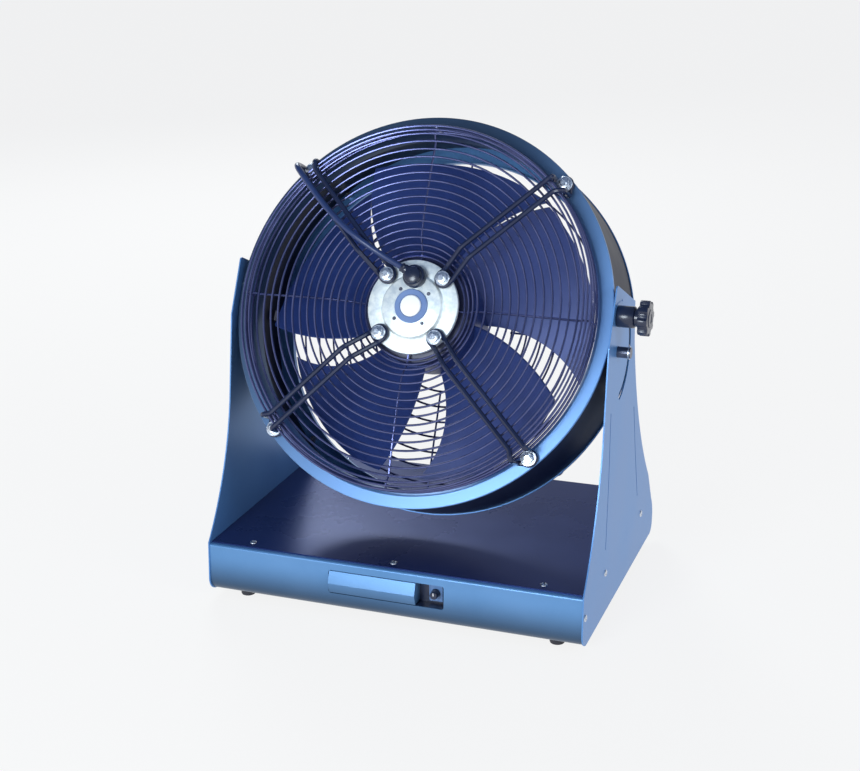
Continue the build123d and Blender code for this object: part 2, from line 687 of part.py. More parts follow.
def on_circle(r, degrees, w):
    """A point at a radius, an angle and a height of the drum."""
    return at(r * math.cos(math.radians(degrees)), r * math.sin(math.radians(degrees)), w)


cable_points = [
    cable_start,
    cable_turn,
    at(-104, 99, 48),
    at(-146, 146, 40),
    on_circle(cable_out_r + 4, 136, 20),
    on_circle(cable_out_r, 137, -16),
    on_circle(cable_out_r, 137, GROMMET_W),
]
runs = [b - a for a, b in zip(cable_points, cable_points[1:])]
cable_radii = []
for a, b in zip(runs, runs[1:]):
    half_turn = math.radians(a.get_angle(b)) / 2
    cable_radii.append(CABLE_SHARE * min(a.length, b.length) / math.tan(half_turn))
print("cable radii", [round(r, 1) for r in cable_radii])
with BuildPart() as motor_cable:
    with BuildLine() as cable_line:
        FilletPolyline(*cable_points, radius=cable_radii)
    with BuildSketch(Plane(origin=cable_start, x_dir=upward, z_dir=runs[0])):
        RegularPolygon(radius=CABLE_R, side_count=6)
    sweep(path=cable_line.wire())
cable_section = 6 / 2 * CABLE_R ** 2 * math.sin(math.tau / 6)
print("cable volume", motor_cable.part.volume, cable_section * cable_line.wire().length)
save(motor_cable, "motor_cable")

GROMMET = 14.0
grommet_plane = Plane(
    origin=on_circle(cable_out_r, 137, GROMMET_W),
    x_dir=on_circle(1, 137, 0) - centre,
    z_dir=forward * -1,
)
with BuildPart() as cable_grommet:
    with BuildSketch(grommet_plane):
        Rectangle(GROMMET, GROMMET)
    extrude(amount=GROMMET)
    with BuildSketch(drum.offset(GROMMET_W - GROMMET)):
        RegularPolygon(radius=DRUM_R + 0.3, side_count=90, major_radius=False)
    extrude(amount=GROMMET, mode=Mode.SUBTRACT)
save(cable_grommet, "cable_grommet")

# ================================================================ impeller
# Rotor can with the shaft, and the blades on their band
CAN_FRONT = 6.0
CAN_REAR = -66.0
CAN_WALL = 3.0
with BuildPart() as rotor_can:
    with BuildSketch(drum.offset(CAN_REAR)):
        RegularPolygon(radius=ROTOR_R, side_count=36)
    extrude(amount=CAN_FRONT - CAN_REAR)
    with BuildSketch(drum.offset(CAN_REAR + CAN_WALL)):
        RegularPolygon(radius=ROTOR_R - 2 * CAN_WALL, side_count=36)
    extrude(amount=CAN_FRONT - CAN_REAR, mode=Mode.SUBTRACT)
save(rotor_can, "rotor_can")

with BuildPart() as motor_shaft:
    with BuildSketch(drum.offset(CAN_REAR + CAN_WALL)):
        Circle(SHAFT_R)
    extrude(amount=CAN_FRONT + 4 - CAN_REAR)
save(motor_shaft, "motor_shaft")

# One blade: a sheet rolled to an arc, steepest at its front edge, and trimmed to a swept outline.
# The outline is seen from the front, in angles behind the foot of the front edge.
BLADE_T = 2.2
BLADE_FRONT = -20.0    # height of the front edge
BLADE_DROP = ((67.0, 37.0), (192.0, 59.0))     # how far the sheet drops, this far behind that edge
FRONT_SWEEP = (8.5, 18.0)                      # front edge, half way out and at the tip
REAR_SWEEP = (66.0, 69.0, 81.0)                # rear edge, at the hub, half way out and at the tip
FIRST_BLADE = -81.0
MIDDLE_R = 125.0
BAND_OUTER = ROTOR_R + 2.5


def swept(r, degrees):
    """A point of a blade's outline at a radius and an angle behind the front edge's foot."""
    return r * math.cos(math.radians(degrees)), -r * math.sin(math.radians(degrees))


foot_line = Vector(1, 0, 0).rotate(Axis((0, 0, 0), forward), FIRST_BLADE)
plan = Plane(origin=centre + forward * (BLADE_FRONT + 10), x_dir=foot_line, z_dir=forward)
edge_foot = plan.from_local_coords(swept(ROTOR_R, 0))
edge_tip = plan.from_local_coords(swept(TIP_R, FRONT_SWEEP[1]))
outward = (edge_tip - edge_foot).normalized()
backward = outward.cross(forward)
with BuildPart() as blade:
    with BuildSketch(Plane(origin=edge_tip + outward * 10, x_dir=backward, z_dir=outward * -1)):
        with BuildLine():
            ThreePointArc((0, -10), *((p, -10 - drop) for p, drop in BLADE_DROP))
        trace(line_width=BLADE_T)
    extrude(amount=(edge_tip - edge_foot).length + 50)
    with BuildSketch(plan):
        with BuildLine():
            front_mid = swept(MIDDLE_R, FRONT_SWEEP[0])
            front_edge = ThreePointArc(swept(ROTOR_R, 0), front_mid, swept(TIP_R, FRONT_SWEEP[1]))
            tip = CenterArc((0, 0), TIP_R, -FRONT_SWEEP[1], FRONT_SWEEP[1] - REAR_SWEEP[2])
            rear_mid = swept(MIDDLE_R, REAR_SWEEP[1])
            rear_edge = ThreePointArc(tip @ 1, rear_mid, swept(ROTOR_R, REAR_SWEEP[0]))
            Line(rear_edge @ 1, front_edge @ 0)
        make_face()
    extrude(amount=-90, mode=Mode.INTERSECT)

with BuildPart() as fan_blades:
    for turn in range(BLADES):
        add(blade.part.rotate(drum_axis, 360 / BLADES * turn))
    with BuildSketch(drum.offset(CAN_REAR)):
        RegularPolygon(radius=BAND_OUTER, side_count=36)
    extrude(amount=BLADE_FRONT + 8 - CAN_REAR)
    with BuildSketch(drum.offset(CAN_REAR - 20)):
        RegularPolygon(radius=ROTOR_R + 0.05, side_count=36)
    extrude(amount=90, mode=Mode.SUBTRACT)
save(fan_blades, "fan_blades")
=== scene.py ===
import math

import bmesh
import bpy
from mathutils import Matrix, Vector


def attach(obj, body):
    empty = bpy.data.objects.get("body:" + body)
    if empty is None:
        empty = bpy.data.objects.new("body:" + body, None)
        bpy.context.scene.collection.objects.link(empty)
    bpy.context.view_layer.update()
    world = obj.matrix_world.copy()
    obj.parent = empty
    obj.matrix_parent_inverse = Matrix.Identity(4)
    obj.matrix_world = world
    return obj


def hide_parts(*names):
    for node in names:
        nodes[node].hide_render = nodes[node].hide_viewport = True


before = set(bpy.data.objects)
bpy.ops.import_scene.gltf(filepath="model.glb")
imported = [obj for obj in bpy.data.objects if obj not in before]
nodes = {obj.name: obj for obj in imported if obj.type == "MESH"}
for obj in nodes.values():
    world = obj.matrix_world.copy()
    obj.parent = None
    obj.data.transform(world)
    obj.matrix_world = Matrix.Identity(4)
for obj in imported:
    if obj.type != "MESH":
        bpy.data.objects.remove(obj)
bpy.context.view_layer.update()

# ---------------------------------------------------------------- camera
# The photographer stood to the fan's right and looked down on it a little.
PHOTO_WIDTH = 860.0
FOCAL_PIXELS = 1534.1
SENSOR = 36.0
AZIMUTH = math.radians(20.986)
ELEVATION = math.radians(19.102)
ROLL = math.radians(-1.263)
NEAREST = 0.05
CAMERA_PLACE = Vector((0.593171, -1.610004, 0.83317))
view_right = Vector((math.cos(AZIMUTH), math.sin(AZIMUTH), 0))
view_back = Vector((
    math.sin(AZIMUTH) * math.cos(ELEVATION),
    -math.cos(AZIMUTH) * math.cos(ELEVATION),
    math.sin(ELEVATION),
))
view_up = view_back.cross(view_right)
rolled_right = view_right * math.cos(ROLL) + view_up * math.sin(ROLL)
rolled_up = view_up * math.cos(ROLL) - view_right * math.sin(ROLL)
lens = bpy.data.cameras.new("camera")
lens.sensor_fit = "HORIZONTAL"
lens.sensor_width = SENSOR
lens.lens = FOCAL_PIXELS / PHOTO_WIDTH * SENSOR
lens.clip_start = NEAREST
camera = bpy.data.objects.new("camera", lens)
bpy.context.scene.collection.objects.link(camera)
turn = Matrix((rolled_right, rolled_up, view_back)).transposed()
camera.matrix_world = Matrix.Translation(CAMERA_PLACE) @ turn.to_4x4()
bpy.context.scene.camera = camera

# ---------------------------------------------------------------- floor and studio
# A plain pale floor that glows a little, so that it stays even, in a room that is pale up to one
# height above the horizon and dim blue from another, both given as sines. Soft lamps in front,
# on the right and at the rear brighten the foot of the drum's ring, the panel and the far edges.
FLOOR_SIZE = 60.0
FLOOR_TONE = (0.13, 0.125, 0.115, 1)
FLOOR_GLOW = 0.84
ROOM_PALE = (0.90, 0.91, 0.92, 1)
ROOM_BLUE = (0.13, 0.18, 0.29, 1)
PALE_UP_TO = 0.22
BLUE_FROM = 0.42
floor_form = bmesh.new()
bmesh.ops.create_grid(floor_form, x_segments=1, y_segments=1, size=FLOOR_SIZE / 2)
floor_mesh = bpy.data.meshes.new("studio_floor")
floor_form.to_mesh(floor_mesh)
floor_form.free()
floor = bpy.data.objects.new("studio_floor", floor_mesh)
bpy.context.scene.collection.objects.link(floor)
floor_paint = bpy.data.materials.new("pale_floor")
floor_paint.use_nodes = True
floor_shader = floor_paint.node_tree.nodes["Principled BSDF"]
floor_shader.inputs["Base Color"].default_value = FLOOR_TONE
floor_shader.inputs["Roughness"].default_value = 1.0
floor_shader.inputs["Specular IOR Level"].default_value = 0.0
floor_shader.inputs["Emission Color"].default_value = (1.0, 1.0, 1.0, 1)
floor_shader.inputs["Emission Strength"].default_value = FLOOR_GLOW
floor_mesh.materials.append(floor_paint)

room = bpy.data.worlds.new("room")
room.use_nodes = True
room_tree = room.node_tree
heading = room_tree.nodes.new("ShaderNodeTexCoord")
split = room_tree.nodes.new("ShaderNodeSeparateXYZ")
room_tree.links.new(heading.outputs["Generated"], split.inputs["Vector"])
rise = room_tree.nodes.new("ShaderNodeMapRange")
rise.interpolation_type = "SMOOTHSTEP"
rise.inputs["From Min"].default_value = PALE_UP_TO
rise.inputs["From Max"].default_value = BLUE_FROM
room_tree.links.new(split.outputs["Z"], rise.inputs["Value"])
air = room_tree.nodes.new("ShaderNodeMix")
air.data_type = "RGBA"
air.inputs["A"].default_value = ROOM_PALE
air.inputs["B"].default_value = ROOM_BLUE
room_tree.links.new(rise.outputs["Result"], air.inputs["Factor"])
room_tree.links.new(air.outputs["Result"], room_tree.nodes["Background"].inputs["Color"])
room_tree.nodes["Background"].inputs["Strength"].default_value = 1.0
bpy.context.scene.world = room

LAMPS = (
    ("front", (-0.45, -2.6, 0.95), (0.0, 0.0, 0.25), 1.1, 46.0, (0.82, 0.92, 1.0)),
    ("right", (2.6, -0.9, 1.5), (0.0, 0.0, 0.3), 1.2, 17.0, (0.80, 0.91, 1.0)),
    ("rear", (-1.4, 2.0, 1.9), (0.0, 0.0, 0.3), 1.2, 34.0, (0.86, 0.94, 1.0)),
)
for lamp_name, place, aim, size, watts, tone in LAMPS:
    glow = bpy.data.lights.new(lamp_name, "AREA")
    glow.shape = "DISK"
    glow.size = size
    glow.energy = watts
    glow.color = tone
    lamp = bpy.data.objects.new(lamp_name, glow)
    bpy.context.scene.collection.objects.link(lamp)
    lamp.location = place
    lamp.rotation_euler = (Vector(aim) - Vector(place)).to_track_quat("-Z", "Y").to_euler()
bpy.context.scene.view_settings.view_transform = "Standard"

# ---------------------------------------------------------------- motor cable
# Round dark blue cable, 7 mm thick, from the gland on the motor flange over the upper left arm
# and the rim to a rubber grommet on the drum. Its curve has a bevel of 1 m, which the points'
# radius brings down to the cable's.
MILLIMETRE = 0.001
MIDDLE = Vector((-0.0174, 0.0201, 0))
FRONT_RING_PLACE = Vector((0, -0.070, 0.344))
TILT = math.radians(26.4)
CABLE_R = 0.0035
CABLE_ANGLE = 137
forward = Vector((0, -math.cos(TILT), math.sin(TILT)))
upward = Vector((0, math.sin(TILT), math.cos(TILT)))
drum_place = Matrix.Translation(MIDDLE + FRONT_RING_PLACE) @ Matrix(
    ((1, 0, 0), upward, forward)
).transposed().to_4x4()


def on_drum(across, up, ahead):
    """A point from its distances, in millimetres, across, up and ahead of the front ring."""
    return drum_place @ (Vector((across, up, ahead)) * MILLIMETRE)


def round_the_drum(radius, degrees, ahead):
    """A point at a radius, an angle and a distance ahead of the front ring, in millimetres."""
    angle = math.radians(degrees)
    return on_drum(radius * math.cos(angle), radius * math.sin(angle), ahead)


CABLE_ROUTE = (
    on_drum(-15, 42, 34),
    on_drum(-55, 60, 54),
    on_drum(-106, 96, 49),
    on_drum(-150, 140, 41.5),
    round_the_drum(223, 136.8, 34),
    round_the_drum(231.5, CABLE_ANGLE, 8),
    round_the_drum(231, CABLE_ANGLE, -18),
    round_the_drum(232, CABLE_ANGLE, -42),
)
cable_line = bpy.data.curves.new("cable", "CURVE")
cable_line.dimensions = "3D"
cable_line.bevel_depth = 1.0
cable_line.bevel_resolution = 4
cable_line.resolution_u = 12
cable_line.use_fill_caps = True
cable_spline = cable_line.splines.new("NURBS")
cable_spline.points.add(len(CABLE_ROUTE) - 1)
for point, place in zip(cable_spline.points, CABLE_ROUTE):
    point.co = (*place, 1)
    point.radius = CABLE_R
cable_spline.order_u = 3
cable_spline.use_endpoint_u = True
cable = bpy.data.objects.new("cable", cable_line)
bpy.context.scene.collection.objects.link(cable)
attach(cable, "drum")
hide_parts("motor_cable")

COAT_ROUGHNESS = 0.12
DRIFT_DETAIL = 5.0
DRIFT_ROUGHNESS = 0.55
DRIFT_RANGE = (0.35, 0.65)
GRAIN_DETAIL = 3.0
GLOSS_SPREAD = 0.08


def finish_of(name, colour, second, roughness, metallic=0.0, coat=0.0, specular=0.5,
              mottle=18.0, grain=700.0, grain_depth=0.00004, grain_strength=0.25):
    """A finish whose colour drifts softly over the piece and whose skin has a fine grain."""
    finish = bpy.data.materials.new(name)
    finish.use_nodes = True
    tree = finish.node_tree
    shader = tree.nodes["Principled BSDF"]
    shader.inputs["Metallic"].default_value = metallic
    shader.inputs["Coat Weight"].default_value = coat
    shader.inputs["Coat Roughness"].default_value = COAT_ROUGHNESS
    shader.inputs["Specular IOR Level"].default_value = specular
    where = tree.nodes.new("ShaderNodeTexCoord")
    drift = tree.nodes.new("ShaderNodeTexNoise")
    drift.inputs["Scale"].default_value = mottle
    drift.inputs["Detail"].default_value = DRIFT_DETAIL
    drift.inputs["Roughness"].default_value = DRIFT_ROUGHNESS
    tree.links.new(where.outputs["Object"], drift.inputs["Vector"])
    tint = tree.nodes.new("ShaderNodeMix")
    tint.data_type = "RGBA"
    tint.inputs["A"].default_value = (*colour, 1)
    tint.inputs["B"].default_value = (*second, 1)
    share = tree.nodes.new("ShaderNodeMapRange")
    share.inputs["From Min"].default_value = DRIFT_RANGE[0]
    share.inputs["From Max"].default_value = DRIFT_RANGE[1]
    tree.links.new(drift.outputs["Fac"], share.inputs["Value"])
    tree.links.new(share.outputs["Result"], tint.inputs["Factor"])
    tree.links.new(tint.outputs["Result"], shader.inputs["Base Color"])
    skin = tree.nodes.new("ShaderNodeTexNoise")
    skin.inputs["Scale"].default_value = grain
    skin.inputs["Detail"].default_value = GRAIN_DETAIL
    tree.links.new(where.outputs["Object"], skin.inputs["Vector"])
    gloss = tree.nodes.new("ShaderNodeMapRange")
    gloss.inputs["To Min"].default_value = roughness - GLOSS_SPREAD
    gloss.inputs["To Max"].default_value = roughness + GLOSS_SPREAD
    tree.links.new(drift.outputs["Fac"], gloss.inputs["Value"])
    tree.links.new(gloss.outputs["Result"], shader.inputs["Roughness"])
    relief = tree.nodes.new("ShaderNodeBump")
    relief.inputs["Strength"].default_value = grain_strength
    relief.inputs["Distance"].default_value = grain_depth
    tree.links.new(skin.outputs["Fac"], relief.inputs["Height"])
    tree.links.new(relief.outputs["Normal"], shader.inputs["Normal"])
    return finish


def paint_shade_in(finish, direction, start, end, share):
    """Paints shade into a finish: its colour deepens towards the start of a line through the
    piece, in metres.
    """
    tree = finish.node_tree
    shader = tree.nodes["Principled BSDF"]
    paint = shader.inputs["Base Color"].links[0].from_socket
    where = tree.nodes.new("ShaderNodeTexCoord")
    along = tree.nodes.new("ShaderNodeVectorMath")
    along.operation = "DOT_PRODUCT"
    along.inputs[1].default_value = direction
    tree.links.new(where.outputs["Object"], along.inputs[0])
    depth = tree.nodes.new("ShaderNodeMapRange")
    depth.interpolation_type = "SMOOTHSTEP"
    depth.inputs["From Min"].default_value = start
    depth.inputs["From Max"].default_value = end
    depth.inputs["To Min"].default_value = share
    tree.links.new(along.outputs["Value"], depth.inputs["Value"])
    deep = tree.nodes.new("ShaderNodeVectorMath")
    deep.operation = "SCALE"
    tree.links.new(paint, deep.inputs[0])
    tree.links.new(depth.outputs["Result"], deep.inputs["Scale"])
    tree.links.new(deep.outputs["Vector"], shader.inputs["Base Color"])


rubber = finish_of("black_rubber", (0.012, 0.014, 0.022), (0.02, 0.022, 0.034), 0.6,
                   grain=1500.0, grain_strength=0.4)
sheath = finish_of("cable_sheath", (0.014, 0.030, 0.105), (0.020, 0.040, 0.130), 0.30,
                   grain=1500.0, grain_strength=0.2)
cable_line.materials.append(sheath)

# ---------------------------------------------------------------- gland and grommet
# Moulded black gland on the motor flange, a domed cover with a collar and a side spout that
# the cable leaves by, and the square rubber grommet where it enters the drum.
GLAND_PLACE = (0.0, 33.5, 24.0)
GLAND_OUTLINE = ((0, 14), (6.5, 14), (9.2, 12.6), (10.3, 10), (10.3, 8.2), (12.4, 7.4),
                 (13.2, 5.5), (13.2, 0), (0, 0))
SPOUT_OUTLINE = ((0, 0), (5.5, 0), (5.5, 9), (4.9, 10), (5.4, 11), (5.4, 12.4), (4.4, 13.8),
                 (3.6, 13.8), (3.6, 6))
SPOUT_REACH = 13.5
GLAND_STEPS = 40
SPOUT_STEPS = 28
GROMMET_SIDE = 14.0
GROMMET_TAPER = 0.8
GROMMET_ROUNDING = 2.2
GROMMET_PLACE = (232, CABLE_ANGLE, -49)
SHARP = math.radians(32)
SAME_POINT = 1e-7


def turned(outline, steps=48, closed=False):
    """A form turned about its own axis from an outline of radius and height in millimetres."""
    form = bmesh.new()
    line = [form.verts.new((radius * MILLIMETRE, 0, height * MILLIMETRE))
            for radius, height in outline]
    ends = list(zip(line, line[1:])) + ([(line[-1], line[0])] if closed else [])
    edges = [form.edges.new(pair) for pair in ends]
    bmesh.ops.spin(form, geom=line + edges, cent=(0, 0, 0), axis=(0, 0, 1),
                   angle=math.tau, steps=steps, use_merge=True)
    bmesh.ops.remove_doubles(form, verts=form.verts, dist=SAME_POINT)
    bmesh.ops.recalc_face_normals(form, faces=form.faces)
    return form


def block(width, depth, height):
    """A rectangular block of a size in millimetres."""
    form = bmesh.new()
    bmesh.ops.create_cube(form, size=MILLIMETRE)
    bmesh.ops.scale(form, vec=(width, depth, height), verts=form.verts)
    return form


def soften(form, width, segments=2, angle=SHARP):
    """Rounds a form's sharp edges by a width in millimetres."""
    sharp = [edge for edge in form.edges
             if len(edge.link_faces) == 2 and edge.calc_face_angle(0) > angle]
    bmesh.ops.bevel(form, geom=sharp, offset=width * MILLIMETRE, segments=segments,
                    profile=0.5, affect="EDGES", clamp_overlap=True, material=-1)


def finished(name, form, place, finish, body, slot_name, *stands_for):
    """Sets a form down in its place as a piece that rides on a body and has a finish."""
    form.transform(place)
    for face in form.faces:
        face.smooth = True
    for edge in form.edges:
        edge.smooth = len(edge.link_faces) == 2 and edge.calc_face_angle(0) < SHARP
    mesh = bpy.data.meshes.new(name)
    form.to_mesh(mesh)
    form.free()
    mesh.materials.append(finish)
    piece = bpy.data.objects.new(name, mesh)
    bpy.context.scene.collection.objects.link(piece)
    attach(piece, body)
    if stands_for:
        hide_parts(*stands_for)


def joined(forms):
    """One form made of several, each given with its place."""
    whole = bmesh.new()
    for form, place in forms:
        form.transform(place)
        scrap = bpy.data.meshes.new("scrap")
        form.to_mesh(scrap)
        form.free()
        whole.from_mesh(scrap)
        bpy.data.meshes.remove(scrap)
    return whole


black_plastic = finish_of("black_plastic", (0.008, 0.013, 0.034), (0.013, 0.020, 0.050), 0.28,
                          coat=0.2, grain=1800.0, grain_strength=0.2)
spout_line = (CABLE_ROUTE[1] - CABLE_ROUTE[0]).normalized()
spout_foot = CABLE_ROUTE[0] - spout_line * SPOUT_REACH * MILLIMETRE
spout_turn = spout_line.to_track_quat("Z", "Y").to_matrix().to_4x4()
spout_place = Matrix.Translation(spout_foot) @ spout_turn
gland_place = drum_place @ Matrix.Translation(Vector(GLAND_PLACE) * MILLIMETRE)
gland = joined((
    (turned(GLAND_OUTLINE, GLAND_STEPS), gland_place),
    (turned(SPOUT_OUTLINE, SPOUT_STEPS), spout_place),
))
finished("gland", gland, Matrix.Identity(4), black_plastic, "drum", "black_plastic",
         "cable_gland")

grommet = block(GROMMET_SIDE, GROMMET_SIDE, GROMMET_SIDE)
for vertex in grommet.verts:
    if vertex.co.z < 0:
        vertex.co.x *= GROMMET_TAPER
        vertex.co.y *= GROMMET_TAPER
soften(grommet, GROMMET_ROUNDING, 4)
grommet_out = round_the_drum(1, CABLE_ANGLE, 0) - round_the_drum(0, CABLE_ANGLE, 0)
grommet_out.normalize()
grommet_place = Matrix.Translation(round_the_drum(*GROMMET_PLACE)) @ Matrix(
    (grommet_out.cross(forward), grommet_out, forward)
).transposed().to_4x4()
finished("grommet", grommet, grommet_place, rubber, "drum", "black_rubber", "cable_grommet")

# ---------------------------------------------------------------- stand sheet metal
# Base pan, cover plate, side panels and blanking strip: folded steel sheet with a smooth
# semi-gloss blue powder coat. Shade is painted into the coat of pan and strip, deeper towards
# the floor, and the cover plate is navy.
# Painted shade: pan and strip are painted darker towards the floor, down to 0.22 of their colour
# at 14 mm up, with full colour from 60 mm up.
LIP_PAINTED_SHADE = ((0, 0, 1), 0.014, 0.060, 0.22)


def painted(finish, *names):
    """Gives solids that stay in view a finish."""
    for name in names:
        nodes[name].data.materials.clear()
        nodes[name].data.materials.append(finish)


blue_coat = finish_of("blue_coat", (0.085, 0.230, 0.520), (0.100, 0.260, 0.560), 0.36,
                      metallic=0.3, mottle=9.0, grain=900.0, grain_strength=0.12)
pan_coat_painted_shade = finish_of("pan_coat_painted_shade", (0.090, 0.235, 0.470), (0.115, 0.270, 0.520), 0.32,
                     metallic=0.3, mottle=9.0, grain=900.0, grain_strength=0.12)
paint_shade_in(pan_coat_painted_shade, *LIP_PAINTED_SHADE)
cover_coat = finish_of("cover_coat", (0.016, 0.030, 0.120), (0.021, 0.038, 0.145), 0.28,
                       metallic=0.35, specular=0.2, mottle=8.0, grain=900.0,
                       grain_strength=0.08)
painted(blue_coat, "side_panel_right", "side_panel_left")
painted(pan_coat_painted_shade, "base_pan", "blanking_strip")
painted(cover_coat, "cover_plate")

# ---------------------------------------------------------------- screws of the stand
# Pan-head machine screws with a crossed slot, bright zinc, six in the cover plate and three
# in each side panel.
COVER_SCREWS = [(x, y) for y in (-166.5, 116.0) for x in (-178.0, 0.0, 178.0)]
PANEL_SCREWS = ((-92.6, 59.0), (-179.0, 45.0), (80.6, 59.5))
SCREW_OUTLINE = ((0, 2.0), (1.8, 1.9), (3.1, 1.5), (3.9, 0.8), (4.1, 0), (0, 0))
SCREW_STEPS = 24
CROSS_REACH = 2.4
CROSS_HALF_WIDTH = 0.5
CROSS_ABOVE = 1.0
CROSS_FLOOR = 0.9
COVER_TOP = 71.3
PANEL_OUTSIDE = 228.5
SIDES = (("right", 1), ("left", -1))
zinc = finish_of("zinc", (0.55, 0.60, 0.68), (0.68, 0.73, 0.80), 0.28, metallic=1.0,
                 mottle=260.0, grain=1300.0, grain_strength=0.2)


def on_stand(x, y, z):
    """A place on the stand, in millimetres across, back and up from the floor."""
    return Matrix.Translation(MIDDLE + Vector((x, y, z)) * MILLIMETRE)


def beside_stand(side, out, y, z):
    """A place that faces outward, at a distance out from the plane between the panels."""
    return on_stand(side * out, y, z) @ Matrix.Rotation(side * math.pi / 2, 4, "Y")


def screw_head():
    """A pan head with a crossed slot pressed into it."""
    head = turned(SCREW_OUTLINE, SCREW_STEPS)
    for vertex in head.verts:
        x, y, z = vertex.co / MILLIMETRE
        in_cross = math.hypot(x, y) < CROSS_REACH and min(abs(x), abs(y)) < CROSS_HALF_WIDTH
        if in_cross and z > CROSS_ABOVE:
            vertex.co.z = CROSS_FLOOR * MILLIMETRE
    return head


cover_screws = joined([(screw_head(), on_stand(x, y, COVER_TOP)) for x, y in COVER_SCREWS])
finished("cover_screw_heads", cover_screws, Matrix.Identity(4), zinc, "stand", "zinc",
         "cover_screws")
for side_name, side in SIDES:
    panel_screws = joined([
        (screw_head(), beside_stand(side, PANEL_OUTSIDE, y, z)) for y, z in PANEL_SCREWS
    ])
    finished(f"side_screw_heads_{side_name}", panel_screws, Matrix.Identity(4), zinc, "stand",
             "zinc", f"side_screws_{side_name}")

# ---------------------------------------------------------------- rubber feet
# Four turned rubber feet with a rounded edge and a hollow for a screw in the underside.
FOOT_OUTLINE = ((3.0, 2.6), (3.6, 0), (7.2, 0), (8.2, 0.6), (8.7, 1.8), (8.2, 9.0), (0, 9.0),
                (0, 2.6))
FEET = {
    "front_right": (192, -160),
    "front_left": (-192, -160),
    "rear_right": (192, 106),
    "rear_left": (-192, 106),
}
FOOT_STEPS = 40
for corner, (x, y) in FEET.items():
    finished(f"foot_{corner}", turned(FOOT_OUTLINE, FOOT_STEPS, closed=True),
             on_stand(x, y, 0), rubber, "stand", "black_rubber", f"rubber_foot_{corner}")

# ---------------------------------------------------------------- control recess
# A moulded black tray behind the lip's window. The switch plate and its turning knob sit in
# the open pocket, and the usual electrics are closed in behind it.
painted(black_plastic, "control_tray", "speed_regulator", "terminal_block")
white_plastic = finish_of("white_plastic", (0.93, 0.94, 0.94), (0.96, 0.97, 0.97), 0.3,
                          coat=0.3, grain=1600.0, grain_strength=0.15)
painted(white_plastic, "run_capacitor")

PLATE_X, PLATE_BACK_Y, PLATE_Z = 53.5, -171.0, 45.3
PLATE_SIZE = (16.0, 2.5, 21.0)
PLATE_INSETS = ((1.6, 0.0), (0.4, -0.7))
PLATE_ROUNDING = 0.3
plate = block(*PLATE_SIZE)
front_face = min(plate.faces, key=lambda face: face.calc_center_median().y)
for inset, step in PLATE_INSETS:
    bmesh.ops.inset_individual(plate, faces=[front_face], thickness=inset * MILLIMETRE,
                               depth=step * MILLIMETRE)
soften(plate, PLATE_ROUNDING)
plate_place = on_stand(PLATE_X, PLATE_BACK_Y - PLATE_SIZE[1] / 2, PLATE_Z)
switch_blue = finish_of("switch_blue", (0.10, 0.20, 0.42), (0.12, 0.23, 0.46), 0.4, coat=0.2,
                        grain=1500.0)
finished("switch_surround", plate, plate_place, switch_blue, "stand", "black_plastic",
         "switch_plate")

KNOB_OUTLINE = ((0, 9.0), (3.9, 9.0), (4.5, 8.4), (4.8, 1.2), (5.1, 0.8), (5.1, 0), (0, 0))
KNOB_STEPS = 36
KNOB_STAND_OFF = 2.8
FLUTE_ABOVE = 2.0
FLUTE_OUTSIDE = 4.2
FLUTE_SHARE = 0.94
MARK_SIZE = (0.9, 3.4, 0.6)
MARK_PLACE = Vector((0, 1.9, 8.75)) * MILLIMETRE
speed_knob = turned(KNOB_OUTLINE, KNOB_STEPS)
for vertex in speed_knob.verts:
    x, y, z = vertex.co / MILLIMETRE
    step = round(math.atan2(y, x) / math.tau * KNOB_STEPS)
    if step % 2 and z > FLUTE_ABOVE and math.hypot(x, y) > FLUTE_OUTSIDE:
        vertex.co.x *= FLUTE_SHARE
        vertex.co.y *= FLUTE_SHARE
knob_place = on_stand(PLATE_X, PLATE_BACK_Y - KNOB_STAND_OFF, PLATE_Z) @ Matrix.Rotation(
    math.pi / 2, 4, "X")
finished("speed_knob_grip", speed_knob, knob_place, black_plastic, "speed_control",
         "black_plastic", "speed_knob")
finished("speed_knob_mark", block(*MARK_SIZE), knob_place @ Matrix.Translation(MARK_PLACE),
         white_plastic, "speed_control", "white_plastic")

# ---------------------------------------------------------------- clamp
# Turned black bush on the right panel and the lobed grip beyond it, moulded round the head
# of a steel screw that runs through the bush to the drum.
CLAMP_AXIS = (-57.0, 352.5)
BUSH_OUTLINE = ((4.8, 24.5), (9.2, 24.5), (10.0, 23.7), (10.0, 20.5), (11.4, 19.6), (12.0, 18.6),
                (12.0, 1.0), (11.4, 0), (4.8, 0))
clamp_place = beside_stand(1, PANEL_OUTSIDE, *CLAMP_AXIS)
finished("clamp_collar", turned(BUSH_OUTLINE, closed=True), clamp_place, black_plastic,
         "stand", "black_plastic", "clamp_bush")

GRIP_RADIUS = 19.8
GRIP_DIP = 3.0
GRIP_LOBES = 8
GRIP_FULLNESS = 2.2
GRIP_HEIGHT = 11.2
GRIP_ROUNDING = 1.0
GRIP_EDGE = math.radians(60)
GRIP_BOSS = ((0, 11.4), (5.0, 11.4), (5.5, 11.9), (9.6, 12.0), (10.4, 11.5), (10.6, 10.8),
             (0, 10.8))
GRIP_STEPS = 128
GRIP_FOOT = 24.8
grip = bmesh.new()
rim = bmesh.ops.create_circle(grip, cap_ends=True, segments=GRIP_STEPS, radius=1.0)["verts"]
for vertex in rim:
    angle = math.atan2(vertex.co.y, vertex.co.x)
    lobe = min(1.0, max(-1.0, GRIP_FULLNESS * math.cos(GRIP_LOBES * angle)))
    reach = GRIP_RADIUS - GRIP_DIP * (1 - lobe) / 2
    vertex.co.x = reach * MILLIMETRE * math.cos(angle)
    vertex.co.y = reach * MILLIMETRE * math.sin(angle)
risen = bmesh.ops.extrude_face_region(grip, geom=grip.faces[:])["geom"]
